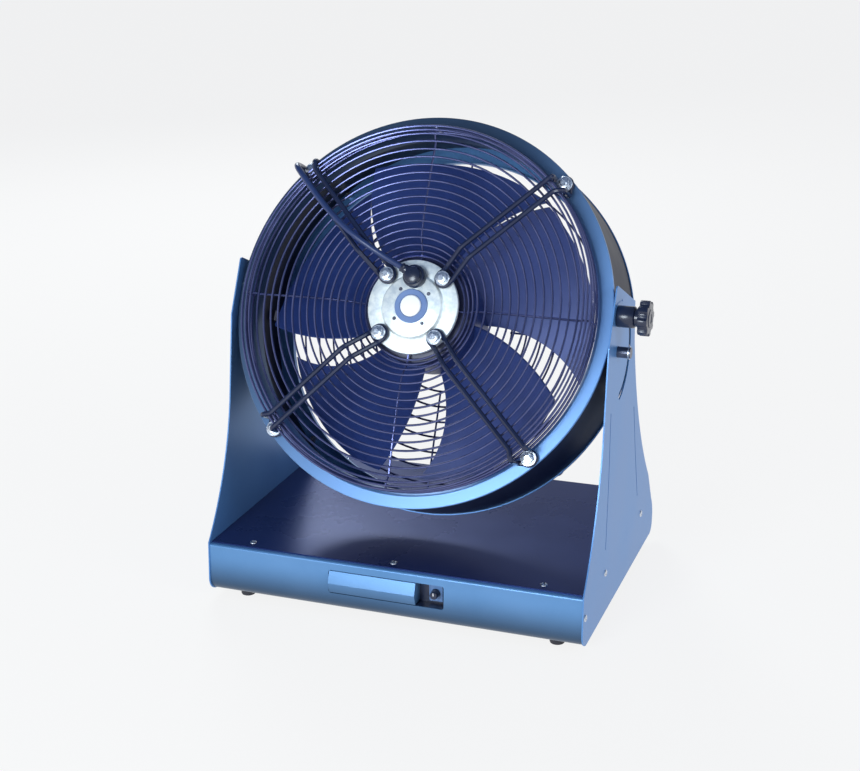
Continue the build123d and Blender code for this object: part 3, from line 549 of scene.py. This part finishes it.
top = [item for item in risen if isinstance(item, bmesh.types.BMVert)]
bmesh.ops.translate(grip, vec=(0, 0, GRIP_HEIGHT * MILLIMETRE), verts=top)
bmesh.ops.recalc_face_normals(grip, faces=grip.faces)
soften(grip, GRIP_ROUNDING, angle=GRIP_EDGE)
grip = joined(((grip, Matrix.Identity(4)), (turned(GRIP_BOSS), Matrix.Identity(4))))
grip_place = beside_stand(1, PANEL_OUTSIDE + GRIP_FOOT, *CLAMP_AXIS)
finished("clamp_grip", grip, grip_place, black_plastic, "clamp", "black_plastic", "clamp_knob")
steel = finish_of("turned_steel", (0.10, 0.11, 0.15), (0.16, 0.17, 0.22), 0.35, metallic=0.9,
                  mottle=120.0, grain=1400.0)
painted(steel, "clamp_screw", "trunnion_right", "trunnion_left", "guide_pin_right",
        "guide_pin_left", "stator_core", "bearing_cartridge", "motor_shaft")

# ---------------------------------------------------------------- pivot
# The pivot pins that stand out of the side panels, long on the right, with a spring ring
# in a groove at the end of each.
PIVOT_AXIS = (-54.0, 310.5)
RING_OUTLINE = ((6.4, 0), (7.3, 0), (7.3, 1.2), (6.4, 1.2))
RING_STEPS = 40
RING_GAP = {"right": 12.5, "left": 0.2}
for side_name, side in SIDES:
    finished(f"spring_ring_{side_name}", turned(RING_OUTLINE, RING_STEPS, closed=True),
             beside_stand(side, PANEL_OUTSIDE + RING_GAP[side_name], *PIVOT_AXIS), zinc,
             "drum", "zinc", f"retaining_ring_{side_name}")

# ---------------------------------------------------------------- drum
# Rolled steel tube with a dark coat, closed in by a blue ring at each end. The front ring
# turns back over the tube, its mouth narrows to the throat round the blades, and shade is
# painted into its coat, deeper towards the upper left.
WALL_OUTLINE = ((224.5, -1.8), (224.5, -112.2), (222.9, -112.2), (222.9, -1.8))
FRONT_RING_OUTLINE = (
    (225.2, 0), (225.8, -0.4), (226, -1.0), (226, -3.6), (224.9, -3.6), (224.7, -1.7),
    (213.4, -1.7), (210.9, -3.2), (208.6, -7.4), (206.6, -14), (205.3, -22), (204.0, -22),
    (205.2, -14), (207.2, -7), (209.6, -2.2), (212.2, 0),
)
REAR_RING_OUTLINE = (
    (225.2, -114), (226, -113.2), (226, -110.6), (224.8, -110.6), (224.6, -112.4),
    (203.6, -112.4), (203.6, -107), (202.2, -107), (202.0, -113.2), (202.8, -114),
)
DRUM_STEPS = 192
# Painted shade: the front ring is painted darker towards its upper left, down to 0.16 of its
# colour.
RING_PAINTED_SHADE = ((0.62, 0, -0.78), -0.42, -0.08, 0.16)
shell_coat = finish_of("dark_shell", (0.007, 0.010, 0.026), (0.011, 0.015, 0.036), 0.45,
                       specular=0.15, mottle=14.0, grain=800.0, grain_strength=0.2)
finished("drum_shell", turned(WALL_OUTLINE, DRUM_STEPS, closed=True), drum_place, shell_coat,
         "drum", "dark_shell", "drum_wall")
ring_coat_painted_shade = finish_of("ring_coat_painted_shade", (0.150, 0.320, 0.640), (0.170, 0.350, 0.680), 0.32,
                      metallic=0.3, mottle=9.0, grain=900.0, grain_strength=0.12)
paint_shade_in(ring_coat_painted_shade, *RING_PAINTED_SHADE)
finished("mouth_ring", turned(FRONT_RING_OUTLINE, DRUM_STEPS, closed=True), drum_place, ring_coat_painted_shade,
         "drum", "blue_paint", "front_ring")
finished("end_ring", turned(REAR_RING_OUTLINE, DRUM_STEPS, closed=True), drum_place, blue_coat,
         "drum", "blue_paint", "rear_ring")

# ---------------------------------------------------------------- guards
# Round steel wire rings with a dark blue lacquer, welded one by one on four radial wires
# that lie behind them. The front guard is domed and dips under the motor flange.
WIRE_R = 1.25
RIM_WIRE_R = 1.5
RIM_RINGS = ((207.5, 28.0, RIM_WIRE_R), (203.0, 28.0, WIRE_R), (198.5, 28.0, WIRE_R))
DOME_RADII = [191.5 - 9.4 * count for count in range(13)]
DOME_FOOT = 22.0
DOME_RISE = 5.0
DOME_CREST_R = 104.0
DOME_SPAN = 88.0
DIPPED_RINGS = ((71.5, 20.0, WIRE_R), (65.0, 15.0, WIRE_R), (59.5, 12.5, WIRE_R))
SIDE_RINGS = ((207.5, 14.5, RIM_WIRE_R), (207.5, 1.6, RIM_WIRE_R))
FRONT_RADIALS = ((50.0, 12.2), (61.0, 10.8), (71.5, 17.0), (78.7, 22.4), (104.0, 24.6),
                 (150.0, 23.2), (191.5, 19.6), (199.0, 25.2), (206.6, 25.0), (206.6, 0.4))
REAR_RINGS = [(207.5 - 18.5 * count, -115.5, WIRE_R) for count in range(8)]
REAR_RADIALS = ((77.0, -113.5), (209.0, -114.9))
RADIAL_WIRES = 4
RADIAL_BEND = 6.0
WIRE_STEPS = 112
WIRE_SIDES = 8
BEND_STEPS = 7
BEND_SHARE = 0.49
STRAIGHT = 0.02


def dome_height(radius):
    """How far the front guard's dome stands ahead of the front ring at a radius."""
    return DOME_FOOT + DOME_RISE * (1 - ((radius - DOME_CREST_R) / DOME_SPAN) ** 2)


def wire_ring(radius, height, thickness):
    """A closed ring of round wire, from its radius, height and half its thickness."""
    form = bmesh.new()
    across = Matrix.Translation((radius * MILLIMETRE, 0, height * MILLIMETRE)) @ Matrix.Rotation(
        math.pi / 2, 4, "X")
    section = bmesh.ops.create_circle(form, segments=WIRE_SIDES, radius=thickness * MILLIMETRE,
                                      matrix=across)["verts"]
    bmesh.ops.spin(form, geom=section + form.edges[:], cent=(0, 0, 0), axis=(0, 0, 1),
                   angle=math.tau, steps=WIRE_STEPS, use_merge=True)
    bmesh.ops.recalc_face_normals(form, faces=form.faces)
    return form


def bent_rod(points, thickness, bend, sides=12):
    """A round rod along points in millimetres, with arcs of one bend radius at its corners."""
    line = bpy.data.curves.new("rod", "CURVE")
    line.dimensions = "3D"
    line.bevel_depth = thickness * MILLIMETRE
    line.bevel_resolution = sides // 4 - 1
    line.resolution_u = BEND_STEPS
    line.use_fill_caps = True
    places = [Vector(point) * MILLIMETRE for point in points]
    knots = [(places[0], None, None)]
    for before, corner, after in zip(places, places[1:], places[2:]):
        incoming, outgoing = corner - before, after - corner
        turn_angle = incoming.angle(outgoing)
        if turn_angle < STRAIGHT:
            continue
        limit = BEND_SHARE * min(incoming.length, outgoing.length)
        reach = min(bend * MILLIMETRE * math.tan(turn_angle / 2), limit)
        pull = reach * 4 / 3 * math.tan(turn_angle / 4) / math.tan(turn_angle / 2)
        start = corner - incoming.normalized() * reach
        end = corner + outgoing.normalized() * reach
        knots.append((start, None, start + incoming.normalized() * pull))
        knots.append((end, end - outgoing.normalized() * pull, None))
    knots.append((places[-1], None, None))
    spline = line.splines.new("BEZIER")
    spline.bezier_points.add(len(knots) - 1)
    for index, (knot, (place, left, right)) in enumerate(zip(spline.bezier_points, knots)):
        knot.handle_left_type = knot.handle_right_type = "FREE"
        previous = knots[index - 1][0] if index else place
        following = knots[index + 1][0] if index + 1 < len(knots) else place
        knot.co = place
        knot.handle_left = left if left else place.lerp(previous, 1 / 3)
        knot.handle_right = right if right else place.lerp(following, 1 / 3)
    holder = bpy.data.objects.new("rod", line)
    bpy.context.scene.collection.objects.link(holder)
    bpy.context.view_layer.update()
    mesh = bpy.data.meshes.new_from_object(
        holder.evaluated_get(bpy.context.evaluated_depsgraph_get()))
    form = bmesh.new()
    form.from_mesh(mesh)
    bpy.data.objects.remove(holder)
    bpy.data.curves.remove(line)
    bpy.data.meshes.remove(mesh)
    bmesh.ops.remove_doubles(form, verts=form.verts, dist=SAME_POINT)
    bmesh.ops.recalc_face_normals(form, faces=form.faces)
    return form


wire_lacquer = finish_of("wire_lacquer", (0.085, 0.100, 0.235), (0.125, 0.140, 0.300), 0.20,
                         metallic=0.75, mottle=30.0, grain=900.0, grain_strength=0.1)
dome_rings = [(radius, dome_height(radius), WIRE_R) for radius in DOME_RADII]
front_rings = (*RIM_RINGS, *dome_rings, *DIPPED_RINGS, *SIDE_RINGS)
for guard_name, rings, radials, node in (
    ("front_cage", front_rings, FRONT_RADIALS, "front_guard"),
    ("rear_cage", REAR_RINGS, REAR_RADIALS, "rear_guard"),
):
    parts = [(wire_ring(*ring), Matrix.Identity(4)) for ring in rings]
    for count in range(RADIAL_WIRES):
        route = [(radius, 0, height) for radius, height in radials]
        parts.append((bent_rod(route, WIRE_R, RADIAL_BEND, WIRE_SIDES),
                      Matrix.Rotation(math.tau * count / RADIAL_WIRES, 4, "Z")))
    finished(guard_name, joined(parts), drum_place, wire_lacquer, "drum", "navy_wire", node)

# ---------------------------------------------------------------- arms
# Four hairpins of 6 mm round rod that carry the motor. Each loops round a bolt on the motor
# flange and rests on the guard's rim. One leg ends in an eye under the rim bolt's washer, and
# the other is bent down over the rim.
ARM_R = 3.0
ARM_BEND = 9.0
ROD_HEIGHT = 3.5
HUB_BOLT_R = 47.4
HUB_FACE = 20.5
LOOP_R = 8.1
LOOP_ANGLES = range(90, 271, 30)
LEG = 7.5
LEG_FOOT = (HUB_BOLT_R + 8, HUB_FACE + ROD_HEIGHT)
LEG_CREST = (87.0, 44.5)
REST_HEIGHT = 33.0
LEG_REST = (203.0, REST_HEIGHT)
DOWN_R = 212.6
SHORT_END = 16.0
SPLAY = 13.5
RIM_BOLT_R = 217.0
EYE_R = 7.2
EYE_ANGLES = range(-80, 141, 20)
ARMS = {"upper_right": 45, "upper_left": 135, "lower_left": 225, "lower_right": 315}


def arc(middle, radius, angles, height):
    """Points round a middle that lies at a distance from the drum's axis, in millimetres."""
    turns = [math.radians(degrees) for degrees in angles]
    return [(middle + radius * math.cos(angle), radius * math.sin(angle), height)
            for angle in turns]


rod_lacquer = finish_of("rod_lacquer", (0.008, 0.014, 0.045), (0.012, 0.020, 0.060), 0.24,
                        mottle=30.0, grain=900.0, grain_strength=0.1)
leg = (LEG_FOOT, LEG_CREST, LEG_REST)
arm_route = [(DOWN_R, LEG, SHORT_END), (DOWN_R, LEG, REST_HEIGHT)]
arm_route += [(radius, LEG, height) for radius, height in reversed(leg)]
arm_route += arc(HUB_BOLT_R, LOOP_R, LOOP_ANGLES, HUB_FACE + ROD_HEIGHT)
arm_route += [(radius, -LEG, height) for radius, height in leg]
arm_route += [(DOWN_R, -SPLAY, REST_HEIGHT), (DOWN_R, -SPLAY, ROD_HEIGHT)]
arm_route += arc(RIM_BOLT_R, EYE_R, EYE_ANGLES, ROD_HEIGHT)
for corner, degrees in ARMS.items():
    arm_place = drum_place @ Matrix.Rotation(math.radians(degrees), 4, "Z")
    finished(f"carrier_{corner}", bent_rod(arm_route, ARM_R, ARM_BEND), arm_place, rod_lacquer,
             "drum", "navy_wire", f"arm_{corner}")

# ---------------------------------------------------------------- bolts and washers
# Zinc-plated washers and hexagon nuts on the ends of threaded studs, four at the rim, four
# at the motor flange and four that hold the rear guard. The nuts stand at odd angles.
WASHER_T = 1.6
WASHER_STEPS = 40
NUT_R = 7.0
NUT_HEIGHT = 4.4
NUT_ROUNDING = 0.7
NUT_ANGLES = (11, 34, 57, 80)
STUD_R = 3.9
STUD_HEIGHT = 5.2
STUD_STEPS = 28
BOLT_SETS = (
    ("rim", RIM_BOLT_R, 2 * ROD_HEIGHT, 9.0, 1, -8.0),
    ("hub", HUB_BOLT_R, HUB_FACE + 2 * ROD_HEIGHT, 8.5, 1, 15.5),
    ("rear_guard", RIM_BOLT_R, -117.0, 9.0, -1, -106.5),
)


def washer(radius):
    """A flat washer with rounded edges."""
    return turned(((4.3, 0.2), (4.5, 0), (radius - 0.4, 0), (radius, 0.4),
                   (radius, WASHER_T - 0.4), (radius - 0.4, WASHER_T), (4.5, WASHER_T),
                   (4.3, WASHER_T - 0.2)), WASHER_STEPS, closed=True)


def nut_and_stud(depth):
    """A hexagon nut with bevelled corners, and the stud through it down to a depth."""
    nut = bmesh.new()
    bmesh.ops.create_cone(nut, cap_ends=True, segments=6, radius1=NUT_R * MILLIMETRE,
                          radius2=NUT_R * MILLIMETRE, depth=NUT_HEIGHT * MILLIMETRE)
    bmesh.ops.translate(nut, vec=(0, 0, NUT_HEIGHT / 2 * MILLIMETRE), verts=nut.verts)
    soften(nut, NUT_ROUNDING, 3)
    stud = turned(((0, STUD_HEIGHT), (STUD_R - 0.9, STUD_HEIGHT),
                   (STUD_R - 0.2, STUD_HEIGHT - 0.5), (STUD_R, NUT_HEIGHT), (STUD_R, depth),
                   (0, depth)), STUD_STEPS)
    return joined(((nut, Matrix.Identity(4)), (stud, Matrix.Identity(4))))


for set_name, circle, seat, washer_r, sense, end in BOLT_SETS:
    facing = Matrix.Identity(4) if sense > 0 else Matrix.Rotation(math.pi, 4, "X")
    washers, nuts = [], []
    for degrees, nut_angle in zip(ARMS.values(), NUT_ANGLES):
        angle = math.radians(degrees)
        foot = Vector((circle * math.cos(angle), circle * math.sin(angle), seat)) * MILLIMETRE
        washers.append((washer(washer_r), Matrix.Translation(foot) @ facing))
        top_of_washer = foot + Vector((0, 0, sense * WASHER_T * MILLIMETRE))
        nuts.append((nut_and_stud(sense * (end - seat) - WASHER_T),
                     Matrix.Translation(top_of_washer) @ facing
                     @ Matrix.Rotation(math.radians(nut_angle), 4, "Z")))
    finished(f"{set_name}_washer_set", joined(washers), drum_place, zinc, "drum", "zinc",
             f"{set_name}_washers")
    finished(f"{set_name}_nut_set", joined(nuts), drum_place, zinc, "drum", "zinc",
             f"{set_name}_bolts")

# ---------------------------------------------------------------- motor
# Cast and lightly polished aluminium flange with a raised middle and small screws, a painted
# ring and a white cap over the bearing. The rotor can and its shaft turn behind it.
FLANGE_OUTLINE = ((0, 24), (34.0, 24), (34.9, 23.6), (36.4, 21.1), (37.2, 20.5), (52.8, 20.5),
                  (53.6, 20.1), (54, 19.3), (54, 16.3), (53.2, 15.5), (0, 15.5))
CAP_OUTLINE = ((0, 5.0), (9.0, 4.9), (11.4, 4.3), (12.3, 3.0), (12.4, 0), (0, 0))
HUB_RING_OUTLINE = ((12.7, 2.4), (13.3, 3.0), (18.4, 3.0), (19.3, 2.2), (19.5, 0), (12.7, 0))
CAN_OUTLINE = ((12, 6), (59.0, 6), (61.2, 5.2), (62, 3.0), (62, -62.5), (61, -65.2), (58.5, -66),
               (0, -66), (0, -63.2), (56.5, -63.2), (56.5, 4.4), (12, 4.4))
FLANGE_TOP = 24.0
SMALL_SCREW_OUTLINE = ((0, 0.2), (1.0, 0.25), (1.5, 0.7), (2.0, 0.5), (2.2, 0), (0, 0))
SMALL_SCREW_STEPS = 20
SMALL_SCREW_R = 24.0
SMALL_SCREW_ANGLES = (40, 130, 220, 310)
MOTOR_STEPS = 96
HUB_RING_STEPS = 56
cast = finish_of("cast_aluminium", (0.66, 0.74, 0.78), (0.90, 0.95, 0.93), 0.45, metallic=0.55,
                 mottle=160.0, grain=480.0, grain_strength=0.5, grain_depth=0.00008)
finished("flange", turned(FLANGE_OUTLINE, MOTOR_STEPS), drum_place, cast, "drum", "motor_grey",
         "motor_flange")
small_screws = joined([
    (turned(SMALL_SCREW_OUTLINE, SMALL_SCREW_STEPS), Matrix.Translation(Vector(foot) * MILLIMETRE))
    for foot in arc(0, SMALL_SCREW_R, SMALL_SCREW_ANGLES, FLANGE_TOP)
])
finished("flange_screws", small_screws, drum_place, steel, "drum", "steel_dark")
ring_blue = finish_of("hub_ring_blue", (0.12, 0.20, 0.42), (0.15, 0.24, 0.46), 0.4, coat=0.2,
                      grain=1100.0)
hub_place = drum_place @ Matrix.Translation((0, 0, FLANGE_TOP * MILLIMETRE))
finished("bearing_ring", turned(HUB_RING_OUTLINE, HUB_RING_STEPS, closed=True), hub_place,
         ring_blue, "drum", "motor_grey", "hub_ring")
finished("bearing_cap", turned(CAP_OUTLINE), hub_place, white_plastic, "drum", "white_plastic",
         "hub_cap")
can_coat = finish_of("can_coat", (0.016, 0.02, 0.07), (0.024, 0.03, 0.09), 0.4, mottle=30.0,
                     grain=800.0)
finished("rotor_shell", turned(CAN_OUTLINE, MOTOR_STEPS, closed=True), drum_place, can_coat,
         "impeller", "motor_grey", "rotor_can")

# ---------------------------------------------------------------- blades
# Five blades of dark coated steel sheet, each rolled to an arc, swept like a sickle and
# welded to a band round the rotor. The sheet is steepest at the front edge.
BLADE_COUNT = 5
BLADE_T = 2.2
BLADE_FRONT = -20.0
HUB_R = 62.0
MIDDLE_R = 125.0
TIP_R = 187.0
ROOT_R = HUB_R + 1.2
FIRST_BLADE = -81.0
ROLL_POINTS = ((0.0, 0.0), (67.0, 37.0), (192.0, 59.0))
FRONT_SWEEP = (0.0, 8.5, 18.0)
REAR_SWEEP = (66.0, 69.0, 81.0)
LONG_STEPS = 30
CHORD_STEPS = 26
BAND_OUTLINE = ((64.4, -12.4), (64.4, -65.6), (62.1, -65.6), (62.1, -12.4))


def circle_through(first, second, third):
    """Centre and radius of the circle through three points of a plane."""
    chords = Matrix(((second[0] - first[0], second[1] - first[1]),
                     (third[0] - first[0], third[1] - first[1])))
    sums = Vector(((second[0] ** 2 + second[1] ** 2 - first[0] ** 2 - first[1] ** 2) / 2,
                   (third[0] ** 2 + third[1] ** 2 - first[0] ** 2 - first[1] ** 2) / 2))
    middle = chords.inverted() @ sums
    return middle, (Vector(first) - middle).length


def swept(radius, degrees):
    """A point of a blade's outline at a radius and an angle behind the front edge's foot."""
    return (radius * math.cos(math.radians(degrees)), -radius * math.sin(math.radians(degrees)))


def edge_angle(sweep, radius):
    """The angle of an edge at a radius, where the edge is an arc through three swept points."""
    middle, edge_r = circle_through(*map(swept, (HUB_R, MIDDLE_R, TIP_R), sweep))
    distance = middle.length
    lean = math.acos(max(-1.0, min(1.0, (radius ** 2 + distance ** 2 - edge_r ** 2)
                                   / (2 * radius * distance))))
    heading = math.atan2(-middle.y, middle.x)
    wanted = math.radians(sweep[0] + (sweep[2] - sweep[0]) * (radius - HUB_R) / (TIP_R - HUB_R))
    choices = [heading + sign * lean + whole_turn
               for sign in (-1, 1) for whole_turn in (-math.tau, 0, math.tau)]
    return min(choices, key=lambda angle: abs(angle - wanted))


roll_middle, roll_r = circle_through(*((back, -drop) for back, drop in ROLL_POINTS))
edge_foot = Vector(swept(HUB_R, FRONT_SWEEP[0]))
edge_tip = Vector(swept(TIP_R, FRONT_SWEEP[2]))
edge_line = (edge_tip - edge_foot).normalized()
behind = Vector((edge_line.y, -edge_line.x))
blade_forms = []
for count in range(BLADE_COUNT):
    blade = bmesh.new()
    bmesh.ops.create_grid(blade, x_segments=LONG_STEPS, y_segments=CHORD_STEPS, size=1.0)
    for vertex in blade.verts:
        radius = ROOT_R + (TIP_R - ROOT_R) * (vertex.co.x + 1) / 2
        front, rear = edge_angle(FRONT_SWEEP, radius), edge_angle(REAR_SWEEP, radius)
        angle = front + (rear - front) * (vertex.co.y + 1) / 2
        x, y = radius * math.cos(angle), -radius * math.sin(angle)
        back = (Vector((x, y)) - edge_tip).dot(behind)
        drop = roll_middle.y - math.sqrt(roll_r ** 2 - (back - roll_middle.x) ** 2)
        vertex.co = Vector((x, y, BLADE_FRONT + drop)) * MILLIMETRE
    bmesh.ops.recalc_face_normals(blade, faces=blade.faces)
    bmesh.ops.solidify(blade, geom=blade.faces[:], thickness=BLADE_T * MILLIMETRE)
    bmesh.ops.translate(blade, vec=(0, 0, BLADE_T / 2 * MILLIMETRE), verts=blade.verts)
    bmesh.ops.recalc_face_normals(blade, faces=blade.faces)
    blade_angle = math.radians(FIRST_BLADE + 360 * count / BLADE_COUNT)
    blade_forms.append((blade, Matrix.Rotation(blade_angle, 4, "Z")))
blade_forms.append((turned(BAND_OUTLINE, MOTOR_STEPS, closed=True), Matrix.Identity(4)))
blade_coat = finish_of("blade_coat", (0.024, 0.048, 0.200), (0.030, 0.060, 0.240), 0.36,
                       metallic=0.2, mottle=10.0, grain=800.0, grain_strength=0.12)
finished("impeller_blades", joined(blade_forms), drum_place, blade_coat, "impeller", "blade_coat",
         "fan_blades")
